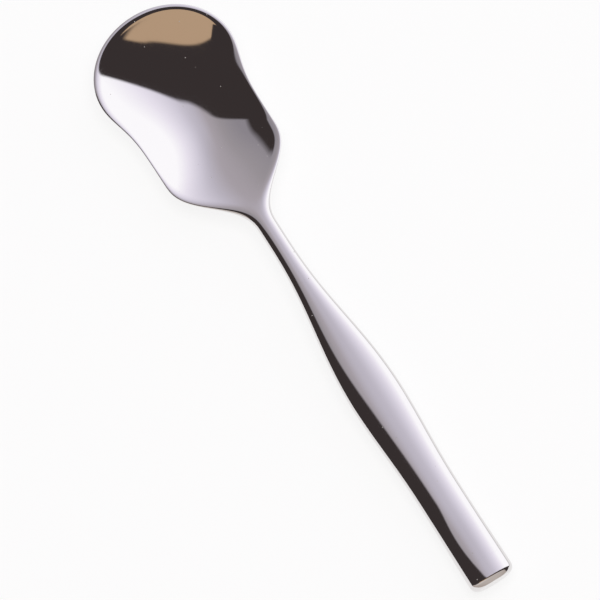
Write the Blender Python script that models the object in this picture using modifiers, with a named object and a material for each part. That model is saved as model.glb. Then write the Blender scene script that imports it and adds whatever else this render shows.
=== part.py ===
"""Ice cream spoon with a hollow handle.

Metres, +Z up, +X toward the tip of the bowl, Y across the spoon, which is symmetric about Y = 0.
The spoon lies as on a table: the bowl's underside and the butt's underside both reach Z = 0.
A station is a distance back from the tip of the bowl.
"""

import bmesh
import bpy
import numpy as np

# Overall
LENGTH = 0.140

# Outline of the bowl, seen from above
FAN_AT = 0.0131
FAN_WIDTH = 0.0314
WAIST_WIDTH = 0.0265
HEEL_AT = 0.0339
HEEL_LENGTH = 0.0196

# Outline of the neck and the handle, seen from above
NECK_WIDTH = 0.0043
SWELL_AT = 0.0554
SWELL_LENGTH = 0.0432
BELLY_WIDTH = 0.0113
TAPER_FROM_BUTT = 0.0488
WRIST_WIDTH = 0.0095
FLARE_FROM_BUTT = 0.0193
BUTT_WIDTH = 0.0099

# Side line: the rim of the bowl, then the widest line of the handle
TIP_RISE = 0.0025
TIP_RISE_LENGTH = 0.0425
NECK_RISE = 0.0013
NECK_RISE_AT = 0.0265
NECK_RISE_LENGTH = 0.0305
DROOP_AT = 0.052
DROOP_SOFTNESS = 0.006

# Hollow of the bowl
BOWL_DEPTH = 0.0049
DISH_FRONT_LENGTH = 0.0334
DISH_FRONT_POWER = 2.2
DISH_REAR_AT = 0.0252
DISH_REAR_LENGTH = 0.0274
DISH_POWER = 2.25
BOWL_WALL = 0.0013
LIP_ROUNDING = 0.0018

# Height of the neck and handle above and below the side line
SHANK_AT = 0.0365
SHANK_LENGTH = 0.0183
NECK_CREST = 0.0015
NECK_KEEL = 0.0019
BELLY_CREST = 0.0021
BELLY_KEEL = 0.0030
BUTT_CREST = 0.0026
BUTT_KEEL = 0.0032
CREST_POWER = 2.6
KEEL_POWER = 2.3

# Pieces of the handle
MOUTH_AT = 0.067
SHELL_WALL = 0.0006
MOUTH_SPIGOT = 0.0035
TANG_END_AT = 0.106
TANG_WIDTH = 0.0026
TANG_THICKNESS = 0.0010
TANG_POWER = 5.0
FILLER_AT = 0.0755
CAP_LENGTH = 0.005
CAP_SPIGOT = 0.003
BUTT_CORNER = 0.0017
BEVEL_RUN = 0.0012
BEVEL_DROP = 0.0007
UNDER_ROUNDING = 0.0007
CLEARANCE = 0.0003

# Facets
RING_POINTS = 36
TIP_RINGS = 12
BOWL_RINGS = 30
NECK_RINGS = 6
SHELL_RINGS = 26
FILLER_RINGS = 16
CORNER_RINGS = 6

SHARP_ANGLE = np.radians(40)
LINE_SAMPLES = 400
TINY = 1e-9
NUDGE = 1e-6

# Finishes
STEEL_COLOUR = (0.78, 0.76, 0.76, 1.0)
STEEL_ROUGHNESS = 0.08
CEMENT_COLOUR = (0.36, 0.33, 0.29, 1.0)
CEMENT_ROUGHNESS = 0.9


def ease(u):
    """Smooth step from 0 to 1, level and without curvature at both ends."""
    u = np.clip(u, 0.0, 1.0)
    return u ** 3 * (u * (6.0 * u - 15.0) + 10.0)


def oval_height(share, power):
    """Height of a rounded section at a share of its half-width."""
    return np.clip(1.0 - np.abs(share) ** power, 0.0, 1.0) ** (1.0 / power)


def half_width(s):
    """Half the width: an ellipse at the tip, a bell down to the waist, then soft steps to the butt."""
    fan, waist, neck = FAN_WIDTH / 2, WAIST_WIDTH / 2, NECK_WIDTH / 2
    belly, wrist, butt = BELLY_WIDTH / 2, WRIST_WIDTH / 2, BUTT_WIDTH / 2
    taper_length = TAPER_FROM_BUTT - FLARE_FROM_BUTT
    bell_spread = FAN_AT * np.sqrt((fan - waist) / fan)
    tip = fan * np.sqrt(np.clip(1.0 - ((FAN_AT - s) / FAN_AT) ** 2, 0.0, 1.0))
    bell = (fan - waist) * np.exp(-0.5 * ((s - FAN_AT) / bell_spread) ** 2)
    closing = waist + (neck - waist) * ease((s - HEEL_AT) / HEEL_LENGTH)
    swell = (belly - neck) * ease((s - SWELL_AT) / SWELL_LENGTH)
    taper = (wrist - belly) * ease((s - LENGTH + TAPER_FROM_BUTT) / taper_length)
    flare = (butt - wrist) * ease((s - LENGTH + FLARE_FROM_BUTT) / FLARE_FROM_BUTT)
    return np.where(s < FAN_AT, tip, bell + closing + swell + taper + flare)


def dish_share(s, y):
    """Share of the bowl's depth: 0 at the rim, 1 where the floor is deepest."""
    front = 1.0 - np.clip(1.0 - s / DISH_FRONT_LENGTH, 0.0, 1.0) ** DISH_FRONT_POWER
    rear = 1.0 - ease((s - DISH_REAR_AT) / DISH_REAR_LENGTH)
    across = np.clip(1.0 - np.abs(y / np.maximum(half_width(s), TINY)) ** DISH_POWER, 0.0, 1.0)
    return front * rear * across


def handle_height(s, neck, belly, butt):
    """Height above or below the side line: half the wall in the bowl, then neck, belly and butt."""
    shank = BOWL_WALL / 2 + (neck - BOWL_WALL / 2) * ease((s - SHANK_AT) / SHANK_LENGTH)
    swell = (belly - neck) * ease((s - SWELL_AT) / SWELL_LENGTH)
    flare = (butt - belly) * ease((s - LENGTH + FLARE_FROM_BUTT) / FLARE_FROM_BUTT)
    return shank + swell + flare


def crest(s):
    return handle_height(s, NECK_CREST, BELLY_CREST, BUTT_CREST)


def keel(s):
    return handle_height(s, NECK_KEEL, BELLY_KEEL, BUTT_KEEL)


def raised_line(s):
    """Side line above the rim's lowest level, without the droop of the handle."""
    tip = TIP_RISE * np.clip(1.0 - s / TIP_RISE_LENGTH, 0.0, 1.0) ** 3
    return tip + NECK_RISE * ease((s - NECK_RISE_AT) / NECK_RISE_LENGTH)


def soft_bend(s):
    """Zero ahead of the bend, then a straight slope of 1, joined softly."""
    return DROOP_SOFTNESS * np.log1p(np.exp((s - DROOP_AT) / DROOP_SOFTNESS))


# The rim stands so high that the bowl's underside just touches Z = 0
bowl_line = np.linspace(0.0, HEEL_AT + HEEL_LENGTH, LINE_SAMPLES)
RIM_HEIGHT = np.max(BOWL_DEPTH * dish_share(bowl_line, 0.0) + keel(bowl_line) - raised_line(bowl_line))

# The handle droops so far that the butt's underside touches it too
REST_AT = LENGTH - UNDER_ROUNDING
DROOP_SLOPE = (RIM_HEIGHT + NECK_RISE - keel(REST_AT)) / soft_bend(REST_AT)


def side_line(s):
    return RIM_HEIGHT + raised_line(s) - DROOP_SLOPE * soft_bend(s)


def lip_height(s, y):
    """Roundness of the bowl's lip: 0 at the outline, 1 from the lip's rounding inward."""
    grow = (half_width(s + NUDGE) ** 2 - half_width(s - NUDGE) ** 2) / (2 * NUDGE)
    inside = np.clip(half_width(s) ** 2 - y ** 2, 0.0, None)
    distance = inside / np.maximum(np.hypot(grow, 2 * y), TINY)
    return np.sqrt(1.0 - (1.0 - np.clip(distance / LIP_ROUNDING, 0.0, 1.0)) ** 2)


def place(s, y, z):
    """Points of a ring, from its station, its offsets across and its heights."""
    return np.column_stack([np.full_like(y, LENGTH / 2 - s), y, z])


RING_ANGLES = np.arange(RING_POINTS) * 2 * np.pi / RING_POINTS


def bowl_ring(s):
    """Section of the bowl and neck: a dished wall that fills out to the neck's oval."""
    share = np.cos(RING_ANGLES)
    y = half_width(s) * share
    blend = ease((s - SHANK_AT) / SHANK_LENGTH)
    lip = (1.0 - blend) * lip_height(s, y)
    over = crest(s) * (lip + blend * oval_height(share, CREST_POWER))
    under = -keel(s) * (lip + blend * oval_height(share, KEEL_POWER))
    middle = side_line(s) - BOWL_DEPTH * dish_share(s, y)
    return place(s, y, middle + np.where(np.sin(RING_ANGLES) >= 0, over, under))


def oval_ring(s, half, over, under):
    """Section of the handle about the side line."""
    share = np.cos(RING_ANGLES)
    top = over * oval_height(share, CREST_POWER)
    bottom = -under * oval_height(share, KEEL_POWER)
    z = side_line(s) + np.where(np.sin(RING_ANGLES) >= 0, top, bottom)
    return place(s, half * share, z)


def inset_ring(s, inset):
    """Section of the handle drawn in all round by the same amount."""
    return oval_ring(s, half_width(s) - inset, crest(s) - inset, keel(s) - inset)


def bar_ring(s, margin):
    """Section of the flat tang in the middle of the handle's hollow, with a margin all round."""
    share = np.cos(RING_ANGLES)
    height = (TANG_THICKNESS / 2 + margin) * oval_height(share, TANG_POWER)
    middle = side_line(s) + (crest(s) - keel(s)) / 2
    z = middle + np.sign(np.sin(RING_ANGLES)) * height
    return place(s, (TANG_WIDTH / 2 + margin) * share, z)


def new_collection(name):
    collection = bpy.data.collections.new(name)
    bpy.context.scene.collection.children.link(collection)
    return collection


def new_material(name, colour, metallic, roughness):
    material = bpy.data.materials.new(name)
    material.use_nodes = True
    shader = material.node_tree.nodes["Principled BSDF"]
    shader.inputs["Base Color"].default_value = colour
    shader.inputs["Metallic"].default_value = metallic
    shader.inputs["Roughness"].default_value = roughness
    return material


def new_steel(name):
    return new_material(name, STEEL_COLOUR, 1.0, STEEL_ROUGHNESS)


def new_object(name, mesh, material, collection):
    mesh.materials.append(material)
    mesh.shade_smooth()
    mesh.set_sharp_from_angle(angle=SHARP_ANGLE)
    piece = bpy.data.objects.new(name, mesh)
    collection.objects.link(piece)
    return piece


def loft(name, rings, tip=None):
    """Closed mesh through the rings, with a flat face at each end, or a point at the front."""
    form = bmesh.new()
    loops = [[form.verts.new(point) for point in ring] for ring in rings]
    if tip is None:
        form.faces.new(loops[0])
    else:
        point = form.verts.new(tip)
        for first, second in zip(loops[0], loops[0][1:] + loops[0][:1]):
            form.faces.new((point, first, second))
    for front, back in zip(loops, loops[1:]):
        for j in range(RING_POINTS):
            k = (j + 1) % RING_POINTS
            form.faces.new((front[j], front[k], back[k], back[j]))
    form.faces.new(loops[-1])
    bmesh.ops.recalc_face_normals(form, faces=form.faces)
    mesh = bpy.data.meshes.new(name)
    form.to_mesh(mesh)
    form.free()
    return mesh


def build_bowl(steel, collection):
    """Bowl, neck, mouth spigot and tang, one forging."""
    tip_stations = FAN_AT * (1.0 - np.cos(np.linspace(0.0, np.pi / 2, TIP_RINGS + 1)[1:]))
    bowl_stations = np.linspace(FAN_AT, SWELL_AT, BOWL_RINGS + 1)[1:]
    shoulder = MOUTH_AT - CLEARANCE / 2
    neck_stations = np.linspace(SWELL_AT, shoulder, NECK_RINGS + 1)[1:]
    stations = np.concatenate([tip_stations, bowl_stations, neck_stations])
    rings = [bowl_ring(s) for s in stations]
    spigot_end = MOUTH_AT + MOUTH_SPIGOT
    for s in (shoulder, spigot_end):
        rings.append(inset_ring(s, SHELL_WALL + CLEARANCE))
    for s in np.linspace(spigot_end, TANG_END_AT, NECK_RINGS):
        rings.append(bar_ring(s, 0.0))
    tip = (LENGTH / 2, 0.0, side_line(0.0))
    return new_object("bowl", loft("bowl", rings, tip), steel, collection)


def build_shell(name, side, steel, collection):
    """Half of the handle's skin: the outer surface, thickened inward. Side is 1 above, -1 below."""
    front = MOUTH_AT + CLEARANCE / 2
    back = LENGTH - CAP_LENGTH - CLEARANCE / 2
    angles = np.linspace(0.0, np.pi, RING_POINTS // 2 + 1)
    share = np.cos(angles)
    power = CREST_POWER if side > 0 else KEEL_POWER
    height = crest if side > 0 else keel
    form = bmesh.new()
    rows = []
    for s in np.linspace(front, back, SHELL_RINGS):
        z = side_line(s) + side * (CLEARANCE / 2 + (height(s) - CLEARANCE / 2) * oval_height(share, power))
        rows.append([form.verts.new(point) for point in place(s, half_width(s) * share, z)])
    for row, following in zip(rows, rows[1:]):
        for j in range(len(row) - 1):
            corners = (row[j], row[j + 1], following[j + 1], following[j])
            form.faces.new(corners[::-side])
    mesh = bpy.data.meshes.new(name)
    form.to_mesh(mesh)
    form.free()
    shell = new_object(name, mesh, steel, collection)
    wall = shell.modifiers.new("Wall", "SOLIDIFY")
    wall.thickness = SHELL_WALL
    wall.offset = -1.0
    wall.use_even_offset = True
    return shell


def build_cap(steel, collection):
    """Butt cap: a spigot in the shells' rear mouth, then the solid end with its rounded corners."""
    joint = LENGTH - CAP_LENGTH + CLEARANCE / 2
    spigot_front = LENGTH - CAP_LENGTH - CAP_SPIGOT
    corner_at = LENGTH - BUTT_CORNER
    rings = [inset_ring(s, SHELL_WALL + CLEARANCE) for s in (spigot_front, joint)]
    turns = np.linspace(0.0, np.pi / 2, CORNER_RINGS + 1)
    bends = corner_at + BUTT_CORNER * np.sin(turns)
    stations = np.unique(np.concatenate([[joint], bends, [LENGTH - BEVEL_RUN, REST_AT]]))
    for s in stations:
        across = np.clip((s - corner_at) / BUTT_CORNER, 0.0, 1.0)
        below = np.clip((s - REST_AT) / UNDER_ROUNDING, 0.0, 1.0)
        half = half_width(s) - BUTT_CORNER * (1.0 - np.sqrt(1.0 - across ** 2))
        over = crest(s) - BEVEL_DROP * np.clip(1.0 - (LENGTH - s) / BEVEL_RUN, 0.0, 1.0)
        under = keel(s) - UNDER_ROUNDING * (1.0 - np.sqrt(1.0 - below ** 2))
        rings.append(oval_ring(s, half, over, under))
    return new_object("butt_cap", loft("butt_cap", rings), steel, collection)


def build_filler(cement, collection, cutters):
    """Cement core inside the shells, with the tang's pocket open at its front."""
    back = LENGTH - CAP_LENGTH - CAP_SPIGOT - CLEARANCE
    rings = [inset_ring(s, SHELL_WALL + CLEARANCE) for s in np.linspace(FILLER_AT, back, FILLER_RINGS)]
    filler = new_object("handle_filler", loft("handle_filler", rings), cement, collection)
    pocket_front = FILLER_AT - SHELL_WALL
    pocket_back = TANG_END_AT + CLEARANCE
    pocket_rings = [bar_ring(s, CLEARANCE) for s in np.linspace(pocket_front, pocket_back, NECK_RINGS)]
    cutter = bpy.data.objects.new("tang_pocket", loft("tang_pocket", pocket_rings))
    cutters.objects.link(cutter)
    cutter.hide_render = True
    cutter.display_type = "WIRE"
    pocket = filler.modifiers.new("Tang pocket", "BOOLEAN")
    pocket.operation = "DIFFERENCE"
    pocket.object = cutter
    return filler


def main():
    for old in list(bpy.data.objects):
        bpy.data.objects.remove(old, do_unlink=True)
    spoon = new_collection("ice_cream_spoon")
    cutters = new_collection("cutters")
    build_bowl(new_steel("bowl_steel"), spoon)
    build_shell("handle_upper_shell", 1, new_steel("upper_shell_steel"), spoon)
    build_shell("handle_lower_shell", -1, new_steel("lower_shell_steel"), spoon)
    build_cap(new_steel("cap_steel"), spoon)
    build_filler(new_material("set_cement", CEMENT_COLOUR, 0.0, CEMENT_ROUGHNESS), spoon, cutters)


main()
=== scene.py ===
# %% [markdown]
# # A polished ice cream spoon
# This lesson dresses a finished construction model. The model comes in as a fixed frame: its pieces are
# plain, faceted solids in the right place and size. A mirror shows every facet, so each steel piece gets a
# fine skin here.

import bpy
import numpy as np
from mathutils import Matrix, Vector


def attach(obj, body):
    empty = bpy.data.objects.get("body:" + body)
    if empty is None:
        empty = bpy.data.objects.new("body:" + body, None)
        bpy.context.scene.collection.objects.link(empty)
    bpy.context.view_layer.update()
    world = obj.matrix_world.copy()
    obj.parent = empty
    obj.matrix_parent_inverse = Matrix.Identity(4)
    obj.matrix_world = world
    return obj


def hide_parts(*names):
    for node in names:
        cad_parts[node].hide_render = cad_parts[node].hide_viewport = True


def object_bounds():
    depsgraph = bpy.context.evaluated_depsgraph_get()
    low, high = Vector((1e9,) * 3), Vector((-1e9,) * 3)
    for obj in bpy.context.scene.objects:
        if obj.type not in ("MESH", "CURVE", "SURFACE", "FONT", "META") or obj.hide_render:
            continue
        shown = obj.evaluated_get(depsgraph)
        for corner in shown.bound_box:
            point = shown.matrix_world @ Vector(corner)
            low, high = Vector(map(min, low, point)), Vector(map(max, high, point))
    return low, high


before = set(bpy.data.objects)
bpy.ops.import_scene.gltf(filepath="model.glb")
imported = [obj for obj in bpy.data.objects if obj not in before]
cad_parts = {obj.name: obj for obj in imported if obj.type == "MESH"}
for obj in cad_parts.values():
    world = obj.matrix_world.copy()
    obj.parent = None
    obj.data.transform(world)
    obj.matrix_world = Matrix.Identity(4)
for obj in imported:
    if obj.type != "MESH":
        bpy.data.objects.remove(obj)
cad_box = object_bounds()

print("pieces in the frame:", sorted(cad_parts))

# %% [markdown]
# ## The outline
# Seen from above, the spoon is a fan with a waist, a slim neck and a handle that swells and tapers. It could
# be drawn as a curve with many handles. A sum of soft steps is used instead: each step has one place, one
# length and one width, and it bends so gently that the reflections have no kink where two steps meet.

# %% A soft step
TINY = 1e-9
MM_PER_M = 1e3


def in_mm(length):
    """Length in millimetres, for the printed notes."""
    return round(float(length) * MM_PER_M, 2)


def ease(u):
    """Soft step: 6u^5 - 15u^4 + 10u^3, level and without curvature where it starts and where it ends."""
    u = np.clip(u, 0.0, 1.0)
    return u ** 3 * (u * (6.0 * u - 15.0) + 10.0)


print("a soft step at its quarters:", ease(np.linspace(0.0, 1.0, 5)).round(3))

# %% Outline from above
LENGTH = cad_box[1].x - cad_box[0].x
FAN_WIDTH = cad_box[1].y - cad_box[0].y
FAN_AT = 0.0131
WAIST_WIDTH = 0.0265
HEEL_AT = 0.0339
HEEL_LENGTH = 0.0196
NECK_WIDTH = 0.0043
SWELL_AT = 0.0554
SWELL_LENGTH = 0.0432
BELLY_WIDTH = 0.0113
TAPER_FROM_BUTT = 0.0488
WRIST_WIDTH = 0.0095
FLARE_FROM_BUTT = 0.0193
BUTT_WIDTH = 0.0099


def half_width(s):
    """Half the width at a distance s from the tip: an ellipse, then a bell to the waist plus soft steps."""
    fan, waist, neck = FAN_WIDTH / 2, WAIST_WIDTH / 2, NECK_WIDTH / 2
    belly, wrist, butt = BELLY_WIDTH / 2, WRIST_WIDTH / 2, BUTT_WIDTH / 2
    spread = FAN_AT * np.sqrt((fan - waist) / fan)
    tip = fan * np.sqrt(np.clip(1.0 - ((FAN_AT - s) / FAN_AT) ** 2, 0.0, 1.0))
    bell = (fan - waist) * np.exp(-0.5 * ((s - FAN_AT) / spread) ** 2)
    closing = waist + (neck - waist) * ease((s - HEEL_AT) / HEEL_LENGTH)
    swell = (belly - neck) * ease((s - SWELL_AT) / SWELL_LENGTH)
    taper_length = TAPER_FROM_BUTT - FLARE_FROM_BUTT
    taper = (wrist - belly) * ease((s - LENGTH + TAPER_FROM_BUTT) / taper_length)
    flare = (butt - wrist) * ease((s - LENGTH + FLARE_FROM_BUTT) / FLARE_FROM_BUTT)
    return np.where(s < FAN_AT, tip, bell + closing + swell + taper + flare)


print("length and width in mm:", in_mm(LENGTH), in_mm(FAN_WIDTH))

# %% [markdown]
# ## The hollow
# The bowl is one sheet of even wall with a rounded lip, pressed down into a dish that is deepest near its
# middle. Sculpting could press it in by eye. Three shares are multiplied instead, one from the front, one
# from the rear and one across, because then every slope in the dish is known and can be set by one number.

# %% Hollow of the bowl
BOWL_DEPTH = 0.0049
DISH_FRONT_LENGTH = 0.0334
DISH_FRONT_POWER = 2.2
DISH_REAR_AT = 0.0252
DISH_REAR_LENGTH = 0.0274
DISH_POWER = 2.25
LINE_SAMPLES = 400


def dish_share(s, y):
    """Share of the depth: front * rear * across, each 0 where the dish ends and 1 where it is deepest."""
    front = 1.0 - np.clip(1.0 - s / DISH_FRONT_LENGTH, 0.0, 1.0) ** DISH_FRONT_POWER
    rear = 1.0 - ease((s - DISH_REAR_AT) / DISH_REAR_LENGTH)
    across = np.clip(1.0 - np.abs(y / np.maximum(half_width(s), TINY)) ** DISH_POWER, 0.0, 1.0)
    return front * rear * across


bowl_line = np.linspace(0.0, HEEL_AT + HEEL_LENGTH, LINE_SAMPLES)
line_depth = BOWL_DEPTH * dish_share(bowl_line, 0.0)
print("dish in mm:", in_mm(line_depth.max()), "deep,", in_mm(bowl_line[line_depth.argmax()]), "from the tip")

# %% [markdown]
# ## The heights
# Behind the dish the sheet fills out into the neck's oval, and the handle grows from there to its belly and
# its butt. Crest and keel are the heights above and below a side line. A loft through drawn ovals would give
# the same body. Soft steps are used again, so that the top of the handle has no kink in its long reflections.

# %% Heights above and below the side line
BOWL_WALL = 0.0013
SHANK_AT = 0.0365
SHANK_LENGTH = 0.0183
NECK_CREST, NECK_KEEL = 0.0015, 0.0019
BELLY_CREST, BELLY_KEEL = 0.0021, 0.0030
BUTT_CREST, BUTT_KEEL = 0.0026, 0.0032


def handle_height(s, neck, belly, butt):
    """Half the wall in the bowl, then soft steps to the neck's, the belly's and the butt's height."""
    shank = BOWL_WALL / 2 + (neck - BOWL_WALL / 2) * ease((s - SHANK_AT) / SHANK_LENGTH)
    swell = (belly - neck) * ease((s - SWELL_AT) / SWELL_LENGTH)
    flare = (butt - belly) * ease((s - LENGTH + FLARE_FROM_BUTT) / FLARE_FROM_BUTT)
    return shank + swell + flare


def crest(s):
    """Height above the side line."""
    return handle_height(s, NECK_CREST, BELLY_CREST, BUTT_CREST)


def keel(s):
    """Depth below the side line."""
    return handle_height(s, NECK_KEEL, BELLY_KEEL, BUTT_KEEL)


for name, s in {"neck": SWELL_AT, "belly": SWELL_AT + SWELL_LENGTH, "butt": LENGTH}.items():
    print(name, "height in mm:", in_mm(crest(s) + keel(s)))

# %% [markdown]
# ## The side line
# Seen from the side, the rim rises to the tip, and behind the neck the handle droops to the butt. The slope
# of the droop could be a number of its own. It is worked out instead, so that the spoon lies on the bowl and
# on the butt whatever the heights are.

# %% Side line
TIP_RISE = 0.0025
TIP_RISE_LENGTH = 0.0425
NECK_RISE = 0.0013
NECK_RISE_AT = 0.0265
NECK_RISE_LENGTH = 0.0305
DROOP_AT = 0.052
DROOP_SOFTNESS = 0.006
UNDER_ROUNDING = 0.0007


def raised_line(s):
    """Rise of the tip, a cubic, plus the neck's soft step."""
    tip = TIP_RISE * np.clip(1.0 - s / TIP_RISE_LENGTH, 0.0, 1.0) ** 3
    return tip + NECK_RISE * ease((s - NECK_RISE_AT) / NECK_RISE_LENGTH)


def soft_bend(s):
    """Softness * log(1 + exp((s - place) / softness)): level ahead of the bend, a slope of 1 behind it."""
    return DROOP_SOFTNESS * np.log1p(np.exp((s - DROOP_AT) / DROOP_SOFTNESS))


RIM_HEIGHT = np.max(line_depth + keel(bowl_line) - raised_line(bowl_line))
REST_AT = LENGTH - UNDER_ROUNDING
DROOP_SLOPE = (RIM_HEIGHT + NECK_RISE - keel(REST_AT)) / soft_bend(REST_AT)


def side_line(s):
    """Height of the rim, and behind it of the handle's widest line."""
    return RIM_HEIGHT + raised_line(s) - DROOP_SLOPE * soft_bend(s)


print("rim height in mm:", in_mm(RIM_HEIGHT), "droop:", round(float(DROOP_SLOPE), 4))

# %% [markdown]
# ## From sections to skins
# Every piece is a row of sections. A section is a ring of points that is worked out for all stations at once,
# so the whole skin is one array with three axes: station, point on the ring, and x, y, z. Lofting by hand in
# the editor would give the same form, but an array keeps the points evenly spread and the mirror calm.

# %% Faces between rings
def ring_faces(count, points):
    """Four-sided faces between neighbouring rings, in the order that turns them outward."""
    ring = np.arange(count - 1)[:, None] * points
    here = np.arange(points)[None, :]
    following = (here + 1) % points
    corners = [ring + here, ring + points + here, ring + points + following, ring + following]
    return np.stack(corners, axis=-1).reshape(-1, 4)


def fan_faces(first, points, middle, outward):
    """Three-sided faces from one ring to a middle point."""
    here = first + np.arange(points)
    following = first + (np.arange(points) + 1) % points
    ends = (here, following) if outward else (following, here)
    return np.stack([np.full(points, middle), *ends], axis=-1)


def strip_faces(first, points, outward):
    """Four-sided faces that close a half pipe's end: outer point, inner point, and their neighbours."""
    outer = first + np.arange(points // 2 - 1)
    inner = first + points - 1 - np.arange(points // 2 - 1)
    corners = (outer, outer + 1, inner - 1, inner) if outward else (outer, inner, inner - 1, outer + 1)
    return np.stack(corners, axis=-1)


print("two rings of 6 points have", len(ring_faces(2, 6)), "faces between them")

# %% Closed skins
SHARP_ANGLE = np.radians(35)


def add_piece(name, points, faces):
    """New object at the origin, with smooth shading that breaks only at real edges."""
    mesh = bpy.data.meshes.new(name)
    mesh.from_pydata(points, [], [face.tolist() for group in faces for face in group])
    mesh.shade_smooth()
    mesh.set_sharp_from_angle(angle=SHARP_ANGLE)
    piece = bpy.data.objects.new(name, mesh)
    bpy.context.scene.collection.objects.link(piece)
    print(name, "has", len(mesh.vertices), "points and", len(mesh.polygons), "faces")
    return piece


def solid_skin(name, rings):
    """Closed skin through rings of shape (stations, points, 3), with a fan at either end."""
    count, points, _ = rings.shape
    middles = rings[[0, -1]].mean(axis=1)
    all_points = np.concatenate([rings.reshape(-1, 3), middles])
    last = (count - 1) * points
    faces = [ring_faces(count, points)]
    faces.append(fan_faces(0, points, count * points, True))
    faces.append(fan_faces(last, points, count * points + 1, False))
    return add_piece(name, all_points, faces)


def pipe_skin(name, rings):
    """Closed skin of a half pipe, whose rings run along the outside and come back along the inside."""
    count, points, _ = rings.shape
    faces = [ring_faces(count, points)]
    faces.append(strip_faces(0, points, True))
    faces.append(strip_faces((count - 1) * points, points, False))
    return add_piece(name, rings.reshape(-1, 3), faces)


print("edges sharper than", round(float(np.degrees(SHARP_ANGLE))), "degrees stay crisp")

# %% [markdown]
# ## Shapes of a section
# The handle's section is a full oval, and the bowl's section is a thin wall with a rounded lip. A Bevel could
# round the lip, but its width would stop where the wall turns. A quarter circle on the true distance from the
# outline keeps the lip even all the way round the fan.

# %% Ovals and the lip
LIP_ROUNDING = 0.0018
CREST_POWER = 2.6
KEEL_POWER = 2.3
NUDGE = 1e-6


def oval_height(share, power):
    """Height of a rounded section at a share of its half-width: (1 - |share|^power)^(1/power)."""
    return np.clip(1.0 - np.abs(share) ** power, 0.0, 1.0) ** (1.0 / power)


def lip_height(s, y):
    """A quarter circle across the lip: 0 at the outline, 1 from the lip's rounding inward."""
    grow = (half_width(s + NUDGE) ** 2 - half_width(s - NUDGE) ** 2) / (2 * NUDGE)
    inside = np.clip(half_width(s) ** 2 - y ** 2, 0.0, None)
    distance = inside / np.maximum(np.hypot(grow, 2 * y), TINY)
    return np.sqrt(1.0 - (1.0 - np.clip(distance / LIP_ROUNDING, 0.0, 1.0)) ** 2)


def place(s, y, z):
    """Points from stations, offsets across and heights, with the tip toward +X."""
    return np.stack(np.broadcast_arrays(LENGTH / 2 - s, y, z), axis=-1)


print("height of the handle's oval at half its width:", round(float(oval_height(0.5, CREST_POWER)), 3))

# %% [markdown]
# ## Bowl, neck and tang
# The bowl is forged in one piece with the neck. Behind the neck it goes on as a short spigot that fills the
# handle's mouth, and as a flat tang that is buried in the handle. A subdivided cage could give the dish, but
# the reflection of a straight edge in it depends on exact slopes, so the surface is the formula itself.

# %% Rings of the bowl
RING_POINTS = 240
ring_turn = np.arange(RING_POINTS)[None, :] * 2 * np.pi / RING_POINTS
ring_share = np.cos(ring_turn)
above = np.sin(ring_turn) >= 0


def bowl_rings(s):
    """Dished wall of even thickness that fills out to the neck's oval."""
    y = half_width(s) * ring_share
    blend = ease((s - SHANK_AT) / SHANK_LENGTH)
    lip = (1.0 - blend) * lip_height(s, y)
    over = crest(s) * (lip + blend * oval_height(ring_share, CREST_POWER))
    under = -keel(s) * (lip + blend * oval_height(ring_share, KEEL_POWER))
    middle = side_line(s) - BOWL_DEPTH * dish_share(s, y)
    return place(s, y, middle + np.where(above, over, under))


print("widest ring of the bowl in mm:", in_mm(np.ptp(bowl_rings(np.array([[FAN_AT]]))[..., 1])))

# %% Rings of the handle and the tang
TANG_WIDTH = 0.0026
TANG_THICKNESS = 0.0010
TANG_POWER = 5.0


def oval_rings(s, half, over, under):
    """Handle's section about the side line: one oval above it and one below."""
    top = over * oval_height(ring_share, CREST_POWER)
    bottom = -under * oval_height(ring_share, KEEL_POWER)
    return place(s, half * ring_share, side_line(s) + np.where(above, top, bottom))


def inset_rings(s, inset):
    """Handle's section drawn in all round by the same amount."""
    return oval_rings(s, half_width(s) - inset, crest(s) - inset, keel(s) - inset)


def bar_rings(s):
    """Flat bar with rounded edges, in the middle of the handle's hollow."""
    height = TANG_THICKNESS / 2 * oval_height(ring_share, TANG_POWER)
    middle = side_line(s) + (crest(s) - keel(s)) / 2
    return place(s, TANG_WIDTH / 2 * ring_share, middle + np.sign(np.sin(ring_turn)) * height)


print("tang in mm:", in_mm(TANG_WIDTH), "wide and", in_mm(TANG_THICKNESS), "thick")

# %% Build the bowl
MOUTH_AT = 0.067
MOUTH_SPIGOT = 0.0035
TANG_END_AT = 0.106
SHELL_WALL = 0.0006
CLEARANCE = 0.0003
SEAM = 0.000002
TIP_RINGS, BOWL_RINGS, NECK_RINGS, TANG_RINGS = 60, 200, 36, 8


def stations(start, end, count):
    """Evenly spaced stations as a column, without the first one."""
    return np.linspace(start, end, count + 1)[1:, None]


def make_bowl():
    """Fine skin of the bowl, neck, spigot and tang. The rings crowd together where the tip closes."""
    tip_turn = np.linspace(0.0, np.pi / 2, TIP_RINGS + 1)[1:, None]
    shoulder = MOUTH_AT - SEAM / 2
    spigot = np.array([[shoulder], [MOUTH_AT + MOUTH_SPIGOT]])
    tang = np.linspace(MOUTH_AT + MOUTH_SPIGOT, TANG_END_AT, TANG_RINGS)[:, None]
    shown = [FAN_AT * (1.0 - np.cos(tip_turn)), stations(FAN_AT, SWELL_AT, BOWL_RINGS)]
    shown.append(stations(SWELL_AT, shoulder, NECK_RINGS))
    rings = [bowl_rings(np.concatenate(shown))]
    rings.append(inset_rings(spigot, SHELL_WALL + CLEARANCE))
    rings.append(bar_rings(tang))
    return solid_skin("polished_bowl", np.concatenate(rings))


bowl = make_bowl()

# %% [markdown]
# ## Handle shells
# The handle is two pressed half shells, brazed along the sides and polished until the seam is gone. Solidify
# would thicken a half skin, but here the ring itself runs round the wall, so the edges meet cleanly. The seam
# is left as a hairline of two thousandths of a millimetre: too fine to see, and the shells stay two pieces.

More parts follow.
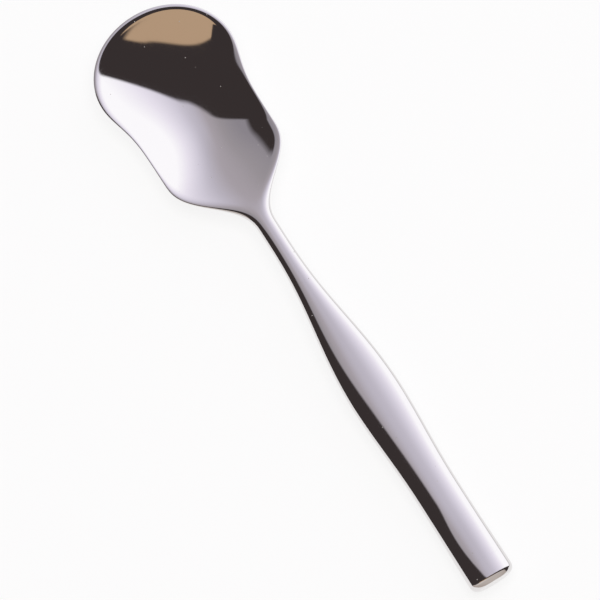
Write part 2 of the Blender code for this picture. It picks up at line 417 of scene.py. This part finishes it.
# %% Build the shells
CAP_LENGTH = 0.005
SHELL_RINGS = 150
HALF_POINTS = 121


def make_shell(name, side):
    """Half pipe: the outer half oval, then the inner one back, for side 1 above or -1 below."""
    s = np.linspace(MOUTH_AT + SEAM / 2, LENGTH - CAP_LENGTH - SEAM / 2, SHELL_RINGS)[:, None]
    share = side * np.cos(np.linspace(0.0, np.pi, HALF_POINTS))[None, :]
    power = CREST_POWER if side > 0 else KEEL_POWER
    reach = crest(s) if side > 0 else keel(s)
    lift = side_line(s) + side * SEAM / 2
    height = side * oval_height(share, power)
    outer = place(s, half_width(s) * share, lift + (reach - SEAM / 2) * height)
    inner_reach = reach - SEAM / 2 - SHELL_WALL
    inner = place(s, (half_width(s) - SHELL_WALL) * share, lift + inner_reach * height)
    return pipe_skin(name, np.concatenate([outer, inner[:, ::-1]], axis=1))


upper_shell = make_shell("polished_upper_shell", 1)
lower_shell = make_shell("polished_lower_shell", -1)

# %% [markdown]
# ## Butt cap
# The solid end of the handle plugs the shells with a spigot. Its corners are round in plan, its upper edge
# carries a sloped bevel, and its under edge is rolled. A Bevel modifier makes edges of one width. Here the
# three edges differ, so each has its own formula along the last millimetres.

# %% Build the cap
CAP_SPIGOT = 0.003
BUTT_CORNER = 0.0017
BEVEL_RUN = 0.0012
BEVEL_DROP = 0.0007
BEVEL_EDGE = 0.35
CAP_RINGS = 60


def bevel_share(run):
    """Share of the bevel's drop: u^2 / 2e over a rounded edge e, then a straight slope, ending at 1."""
    edge = np.where(run < BEVEL_EDGE, run ** 2 / (2 * BEVEL_EDGE), run - BEVEL_EDGE / 2)
    return edge / (1.0 - BEVEL_EDGE / 2)


def make_cap():
    """Rings that close toward the butt: a quarter circle in plan, a slope above, a quarter circle below."""
    joint = LENGTH - CAP_LENGTH + SEAM / 2
    spigot = np.array([[LENGTH - CAP_LENGTH - CAP_SPIGOT], [joint]])
    corner_at = LENGTH - BUTT_CORNER
    straight = np.linspace(joint, corner_at, CAP_RINGS)
    bend = corner_at + BUTT_CORNER * np.sin(np.linspace(0.0, np.pi / 2, CAP_RINGS))
    s = np.unique(np.concatenate([straight, bend, [LENGTH - BEVEL_RUN, REST_AT]]))[:, None]
    rounded = np.clip((s - corner_at) / BUTT_CORNER, 0.0, 1.0)
    sloped = np.clip(1.0 - (LENGTH - s) / BEVEL_RUN, 0.0, 1.0)
    rolled = np.clip((s - REST_AT) / UNDER_ROUNDING, 0.0, 1.0)
    half = half_width(s) - BUTT_CORNER * (1.0 - np.sqrt(1.0 - rounded ** 2))
    over = crest(s) - BEVEL_DROP * bevel_share(sloped)
    under = keel(s) - UNDER_ROUNDING * (1.0 - np.sqrt(1.0 - rolled ** 2))
    rings = [inset_rings(spigot, SHELL_WALL + CLEARANCE), oval_rings(s, half, over, under)]
    return solid_skin("polished_butt_cap", np.concatenate(rings))


cap = make_cap()

# %% [markdown]
# ## Small tools for materials
# Every finish below is a few nodes, and the same nodes come back: noise in the object's own coordinates, a
# straight map of a value, a product, a mix of two colours. They could be placed by hand in the node editor.
# A short function for each keeps the materials readable.

# %% Nodes, materials and textures
EVEN = (1.0, 1.0, 1.0)


def add_node(tree, kind, **inputs):
    """New shader node with the given input values."""
    node = tree.nodes.new(kind)
    for name, value in inputs.items():
        node.inputs[name.replace("_", " ")].default_value = value
    return node


def new_material(name):
    """Node material with its Principled shader."""
    material = bpy.data.materials.new(name)
    material.use_nodes = True
    return material, material.node_tree, material.node_tree.nodes["Principled BSDF"]


def new_light_material(name):
    """Node material with nothing but its output."""
    material = bpy.data.materials.new(name)
    material.use_nodes = True
    material.node_tree.nodes.clear()
    output = material.node_tree.nodes.new("ShaderNodeOutputMaterial")
    return material, material.node_tree, output.inputs["Surface"]


def object_texture(tree, kind, stretch, **inputs):
    """Texture node on Object coordinates, pulled out along the axes by a Mapping node."""
    coordinates = tree.nodes.new("ShaderNodeTexCoord")
    mapping = add_node(tree, "ShaderNodeMapping", Scale=stretch)
    texture = add_node(tree, kind, **inputs)
    tree.links.new(coordinates.outputs["Object"], mapping.inputs["Vector"])
    tree.links.new(mapping.outputs["Vector"], texture.inputs["Vector"])
    return texture


print("tools for nodes:", [tool.__name__ for tool in (add_node, new_material, object_texture)])

# %% Values and colours
UNIT = (0.0, 1.0)
FLIPPED = (1.0, 0.0)


def combine(tree, operation, first, second):
    """Math node on two values."""
    node = tree.nodes.new("ShaderNodeMath")
    node.operation = operation
    tree.links.new(first, node.inputs[0])
    tree.links.new(second, node.inputs[1])
    return node.outputs["Value"]


def map_range(tree, value, limits, results):
    """Straight map of a value from one range to another, held at its ends."""
    node = tree.nodes.new("ShaderNodeMapRange")
    names = ("From Min", "From Max", "To Min", "To Max")
    for name, number in zip(names, (*limits, *results)):
        node.inputs[name].default_value = number
    tree.links.new(value, node.inputs["Value"])
    return node.outputs["Result"]


def colour_mix(tree, factor, first, second):
    """Mix of two colours, each a plain colour or another node's output."""
    node = tree.nodes.new("ShaderNodeMix")
    node.data_type = "RGBA"
    colours = [socket for socket in node.inputs if socket.type == "RGBA"]
    for socket, colour in zip(colours, (first, second)):
        if isinstance(colour, tuple):
            socket.default_value = colour
        else:
            tree.links.new(colour, socket)
    tree.links.new(factor, node.inputs["Factor"])
    return next(socket for socket in node.outputs if socket.type == "RGBA")


print("tools for values:", [tool.__name__ for tool in (combine, map_range, colour_mix)])

# %% [markdown]
# ## Polished steel
# A mirror finish is never perfect: the polishing mop leaves faint lines along the spoon, use leaves smears,
# and a few specks of dust settle on it. An even shader would look like glass. Roughness carries most of the
# marks here, because on a mirror it shows first in the dark reflections. The bump is so slight that it only
# shivers an edge. The dust is a cell texture cut off close to its points: only where a point happens to lie
# at the surface does a speck show.

# %% Mirror steel
STEEL_COLOUR = (0.78, 0.76, 0.76, 1.0)
MOP_STRETCH = (0.05, 1.0, 1.0)
MOP_LINES = 2600.0
MOP_DETAIL = 3.0
SMEAR_SCALE = 90.0
SMEAR_DETAIL = 4.0
WEAR = (0.1, 0.45)
ROUGHNESS = (0.03, 0.075)
WAVE_HEIGHT = 0.0000004
DUST_COLOUR = (0.42, 0.40, 0.38, 1.0)
DUST_CELLS = 420.0
DUST_EDGE = (0.03, 0.05)


def noise(tree, stretch, scale, detail):
    """Noise on Object coordinates, as a value."""
    return object_texture(tree, "ShaderNodeTexNoise", stretch, Scale=scale, Detail=detail).outputs["Fac"]


def mirror_steel(name):
    """Polished steel: roughness from mop lines and smears, a bump under a micron, sparse dust."""
    material, tree, shader = new_material(name)
    lines = noise(tree, MOP_STRETCH, MOP_LINES, MOP_DETAIL)
    smears = noise(tree, EVEN, SMEAR_SCALE, SMEAR_DETAIL)
    cells = object_texture(tree, "ShaderNodeTexVoronoi", EVEN, Scale=DUST_CELLS).outputs["Distance"]
    dust = map_range(tree, cells, DUST_EDGE, FLIPPED)
    wear = map_range(tree, combine(tree, "MULTIPLY", lines, smears), WEAR, ROUGHNESS)
    tree.links.new(colour_mix(tree, dust, STEEL_COLOUR, DUST_COLOUR), shader.inputs["Base Color"])
    tree.links.new(map_range(tree, dust, UNIT, FLIPPED), shader.inputs["Metallic"])
    tree.links.new(combine(tree, "MAXIMUM", wear, dust), shader.inputs["Roughness"])
    bump = add_node(tree, "ShaderNodeBump", Distance=WAVE_HEIGHT)
    tree.links.new(lines, bump.inputs["Height"])
    tree.links.new(bump.outputs["Normal"], shader.inputs["Normal"])
    return material


print("steel roughness, clean and worn:", ROUGHNESS)

# %% Steel on the four skins
steel_pieces = {
    "bowl": bowl,
    "handle_upper_shell": upper_shell,
    "handle_lower_shell": lower_shell,
    "butt_cap": cap,
}
for node, piece in steel_pieces.items():
    piece.data.materials.append(mirror_steel(piece.name + "_steel"))
    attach(piece, "root")
    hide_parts(node)
print("polished pieces:", [piece.name for piece in steel_pieces.values()])

# %% [markdown]
# ## Cement core
# The handle is filled with cement that holds the tang. A finer skin could replace the frame's block, but the
# core is out of sight and a poured block needs no finer form, so it stays as the frame has it. Its cement is
# grey-brown with lighter sand and small pores.

# %% Cement on the frame's own piece
CEMENT_DARK = (0.26, 0.235, 0.205, 1.0)
CEMENT_LIGHT = (0.44, 0.41, 0.365, 1.0)
SAND_SCALE = 900.0
SAND_DETAIL = 6.0
SAND_CONTRAST = (0.35, 0.65)
PORE_SCALE = 2500.0
PORE_DETAIL = 3.0
PORE_DEPTH = 0.0001
CEMENT_ROUGHNESS = (0.82, 0.95)


def set_cement():
    """Sand as noise between two browns, with pores as a bump."""
    material, tree, shader = new_material("set_cement")
    sand = map_range(tree, noise(tree, EVEN, SAND_SCALE, SAND_DETAIL), SAND_CONTRAST, UNIT)
    tree.links.new(colour_mix(tree, sand, CEMENT_DARK, CEMENT_LIGHT), shader.inputs["Base Color"])
    tree.links.new(map_range(tree, sand, UNIT, CEMENT_ROUGHNESS), shader.inputs["Roughness"])
    bump = add_node(tree, "ShaderNodeBump", Distance=PORE_DEPTH)
    tree.links.new(noise(tree, EVEN, PORE_SCALE, PORE_DETAIL), bump.inputs["Height"])
    tree.links.new(bump.outputs["Normal"], shader.inputs["Normal"])
    return material


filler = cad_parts["handle_filler"]
filler.data.materials.clear()
filler.data.materials.append(set_cement())
print("cement on", filler.name)

# %% [markdown]
# ## The camera
# The camera looks down steeply from the butt's left side. It could be placed by hand until the picture fits.
# Its place is worked out from a few readings instead: the angle of the spoon on the table, the height of the
# view, the distance, the width of the view, and where the tip lies from the middle of the image. Right and
# away are the image's own directions on the table.

# %% Camera
SPOON_ANGLE = np.radians(121.94)
VIEW_HEIGHT = np.radians(75)
VIEW_DISTANCE = 1.1
VIEW_WIDTH = 0.12354
TIP_RIGHT, TIP_AWAY = -0.03464, 0.05886
right = Vector((np.cos(SPOON_ANGLE), -np.sin(SPOON_ANGLE), 0.0))
away = Vector((np.sin(SPOON_ANGLE), np.cos(SPOON_ANGLE), 0.0))
up = Vector((0.0, 0.0, 1.0))


def add_camera():
    """Camera aimed at the point of the table that is in the middle of the image."""
    data = bpy.data.cameras.new("camera")
    data.lens = data.sensor_width * VIEW_DISTANCE / VIEW_WIDTH
    camera = bpy.data.objects.new("camera", data)
    bpy.context.scene.collection.objects.link(camera)
    aim = Vector((LENGTH / 2, 0.0, 0.0)) - TIP_RIGHT * right - TIP_AWAY * away
    back = up * np.sin(VIEW_HEIGHT) - away * np.cos(VIEW_HEIGHT)
    turn = Matrix((right, back.cross(right), back)).transposed().to_4x4()
    camera.matrix_world = Matrix.Translation(aim + VIEW_DISTANCE * back) @ turn
    bpy.context.scene.camera = camera
    return camera


print("camera at", [round(x, 4) for x in add_camera().matrix_world.translation])

# %% [markdown]
# ## The table
# The table is white to the camera and to the mirror. A table that only glows would lose the shadow, and one
# that is only lit would be grey. So a share of it is plain shading, which keeps the spoon's shadow. Light
# Path tells the shader which rays show the table, and the others get the plain shading alone.

# %% White table
TABLE_RADIUS = 1.9
TABLE_POINTS = 128
TABLE_COLOUR = (0.92, 0.92, 0.92, 1.0)
TABLE_WHITE_SHARE = 0.8
WHITE_GLOW = 1.0


def white_table():
    """Plain shading mixed with an even white, for the rays that show the table."""
    material, tree, surface = new_light_material("white_table")
    shaded = add_node(tree, "ShaderNodeBsdfDiffuse", Color=TABLE_COLOUR)
    white = add_node(tree, "ShaderNodeEmission", Strength=WHITE_GLOW)
    path = tree.nodes.new("ShaderNodeLightPath")
    shown = path.outputs["Is Camera Ray"]
    for ray in ("Is Glossy Ray", "Is Transmission Ray"):
        shown = combine(tree, "MAXIMUM", shown, path.outputs[ray])
    mix = tree.nodes.new("ShaderNodeMixShader")
    tree.links.new(map_range(tree, shown, UNIT, (0.0, TABLE_WHITE_SHARE)), mix.inputs["Fac"])
    tree.links.new(shaded.outputs[0], mix.inputs[1])
    tree.links.new(white.outputs[0], mix.inputs[2])
    tree.links.new(mix.outputs[0], surface)
    return material


def add_table():
    """Flat disc under the spoon."""
    bpy.ops.mesh.primitive_circle_add(vertices=TABLE_POINTS, radius=TABLE_RADIUS, fill_type="NGON")
    table = bpy.context.object
    table.name = "table"
    table.data.materials.append(white_table())
    return table


print("table radius in m:", add_table().dimensions.x / 2)

# %% [markdown]
# ## The light tent
# A mirror shows what stands round it, so the spoon lies in a tent: a dome that brightens toward a window on
# the right and is dark on the near side and behind a panel on the left. One warm card hangs in the dark, and
# a pale wall stands below it. Real cards and panels could stand round the spoon. One painted dome is easier
# to tune: each part of it is a limit on a direction, and a direction is a dot product of the dome's own
# coordinates. The camera looks through the dome.

# %% Directions on the dome
TENT_RADIUS = 2.0
TENT_RINGS, TENT_POINTS = 32, 96
CARD_SOFTNESS = 0.008


def along(tree, direction):
    """How far the dome's point lies along a direction, from -1 to 1: the dot product over the radius."""
    coordinates = tree.nodes.new("ShaderNodeTexCoord")
    dot = tree.nodes.new("ShaderNodeVectorMath")
    dot.operation = "DOT_PRODUCT"
    dot.inputs[1].default_value = direction / TENT_RADIUS
    tree.links.new(coordinates.outputs["Object"], dot.inputs[0])
    return dot.outputs["Value"]


def turned(angle):
    """Level direction, turned from right toward away."""
    return right * np.cos(angle) + away * np.sin(angle)


def below(tree, value, limits):
    """1 below the first limit, 0 above the second."""
    return map_range(tree, value, limits, FLIPPED)


def between(tree, direction, limits):
    """1 between two limits along a direction, with a soft edge at both."""
    first, last = limits
    value = along(tree, direction)
    rise = map_range(tree, value, (first - CARD_SOFTNESS, first + CARD_SOFTNESS), UNIT)
    fall = below(tree, value, (last - CARD_SOFTNESS, last + CARD_SOFTNESS))
    return combine(tree, "MULTIPLY", rise, fall)


print("right in the frame's axes:", [round(x, 3) for x in right])

# %% Window side of the tent
WINDOW_TURN = np.radians(18)
TENT_STOPS = (
    (-0.55, (0.32, 0.30, 0.335, 1.0)),
    (-0.25, (0.395, 0.368, 0.395, 1.0)),
    (-0.05, (0.48, 0.443, 0.485, 1.0)),
    (0.10, (0.62, 0.59, 0.68, 1.0)),
    (0.25, (0.80, 0.77, 0.885, 1.0)),
    (0.45, (1.02, 0.985, 1.10, 1.0)),
    (0.65, (1.23, 1.235, 1.27, 1.0)),
)
NEW_STOP_AT = 0.5


def window_ramp(tree):
    """Colours of the tent from the dim side to the window."""
    ramp = tree.nodes.new("ShaderNodeValToRGB")
    stops = ramp.color_ramp.elements
    while len(stops) < len(TENT_STOPS):
        stops.new(NEW_STOP_AT)
    for stop, (side, colour) in zip(stops, TENT_STOPS):
        stop.position = (side + 1.0) / 2
        stop.color = colour
    facing = map_range(tree, along(tree, turned(WINDOW_TURN)), (-1.0, 1.0), UNIT)
    tree.links.new(facing, ramp.inputs["Fac"])
    return ramp.outputs["Color"]


print("stops from dim side to window:", len(TENT_STOPS))

# %% Dark parts, near wall and warm card
HORIZON = (0.52, 0.51, 0.51, 1.0)
HORIZON_HEIGHT = (0.05, 0.22)
DARK = (0.045, 0.036, 0.036, 1.0)
NEAR_TURN = np.radians(94.3)
NEAR_EDGE = (0.027, 0.057)
PANEL_TURN = np.radians(-5.2)
PANEL_EDGE = (-0.753, -0.703)
PANEL_FOOT = (0.42, 0.48)
WALL_LOW = (0.50, 0.44, 0.40, 1.0)
WALL_HIGH = (0.80, 0.76, 0.73, 1.0)
WALL_HEIGHT = (0.25, 0.85)
WALL_EDGE = (-0.54, -0.50)
WARM = (0.56, 0.39, 0.25, 1.0)
CARD_TURN = np.radians(91.5)
CARD_SIDES = (-0.30, 0.60)
CARD_DEPTH = (-0.50, -0.283)
CARD_HEIGHT = (0.84, 1.1)


def warm_card(tree):
    """1 on the card, which has limits across, in height and toward the viewer."""
    card = combine(tree, "MULTIPLY", between(tree, right, CARD_SIDES), between(tree, up, CARD_HEIGHT))
    return combine(tree, "MULTIPLY", card, between(tree, turned(CARD_TURN), CARD_DEPTH))


def tent_light():
    """Glow by direction: the ramp, greyer at the horizon, then the dark parts, near wall and card."""
    material, tree, surface = new_light_material("tent_light")
    height = along(tree, up)
    near = along(tree, turned(NEAR_TURN))
    colour = colour_mix(tree, below(tree, height, HORIZON_HEIGHT), window_ramp(tree), HORIZON)
    panel = below(tree, along(tree, turned(PANEL_TURN)), PANEL_EDGE)
    panel = combine(tree, "MULTIPLY", panel, map_range(tree, height, PANEL_FOOT, UNIT))
    dark = combine(tree, "MAXIMUM", panel, below(tree, near, NEAR_EDGE))
    colour = colour_mix(tree, dark, colour, DARK)
    wall = colour_mix(tree, map_range(tree, height, WALL_HEIGHT, UNIT), WALL_LOW, WALL_HIGH)
    colour = colour_mix(tree, below(tree, near, WALL_EDGE), colour, wall)
    glow = add_node(tree, "ShaderNodeEmission", Strength=WHITE_GLOW)
    tree.links.new(colour_mix(tree, warm_card(tree), colour, WARM), glow.inputs["Color"])
    tree.links.new(glow.outputs[0], surface)
    return material


def add_tent():
    """Half sphere: radius * (cos h cos t, cos h sin t, sin h) over turns t and heights h."""
    height = np.linspace(0.0, np.pi / 2, TENT_RINGS)[:, None]
    turn = np.arange(TENT_POINTS)[None, :] * 2 * np.pi / TENT_POINTS
    x, y = np.cos(height) * np.cos(turn), np.cos(height) * np.sin(turn)
    rings = TENT_RADIUS * np.stack(np.broadcast_arrays(x, y, np.sin(height)), axis=-1)
    tent = add_piece("light_tent", rings.reshape(-1, 3), [ring_faces(TENT_RINGS, TENT_POINTS)])
    tent.data.materials.append(tent_light())
    tent.visible_camera = False
    return tent


print("tent radius in m:", add_tent().dimensions.z)

# %% [markdown]
# ## Lamp and world
# The tent is made for its reflection, so the light for the table comes from a lamp as well. A small lamp
# would draw a hard shadow. One large soft disc overhead is used, and it is kept out of the mirror, where it
# would show as a bright round patch.

# %% Overhead lamp and white world
LAMP_POWER = 8.0
LAMP_SIZE = 1.0
LAMP_PLACE = Vector((0.0, 0.0, 1.2))
WORLD_WHITE = (1.0, 1.0, 1.0, 1.0)


def add_lamp():
    """Disc lamp that faces down, hidden from glossy rays."""
    data = bpy.data.lights.new("overhead_lamp", "AREA")
    data.shape = "DISK"
    data.size = LAMP_SIZE
    data.energy = LAMP_POWER
    lamp = bpy.data.objects.new("overhead_lamp", data)
    lamp.location = LAMP_PLACE
    lamp.visible_glossy = False
    bpy.context.scene.collection.objects.link(lamp)
    return lamp


world = bpy.data.worlds.new("white_world")
world.use_nodes = True
world.node_tree.nodes["Background"].inputs["Color"].default_value = WORLD_WHITE
bpy.context.scene.world = world
bpy.context.scene.view_settings.view_transform = "Standard"
print("lamp at", list(add_lamp().location), "in a white world")
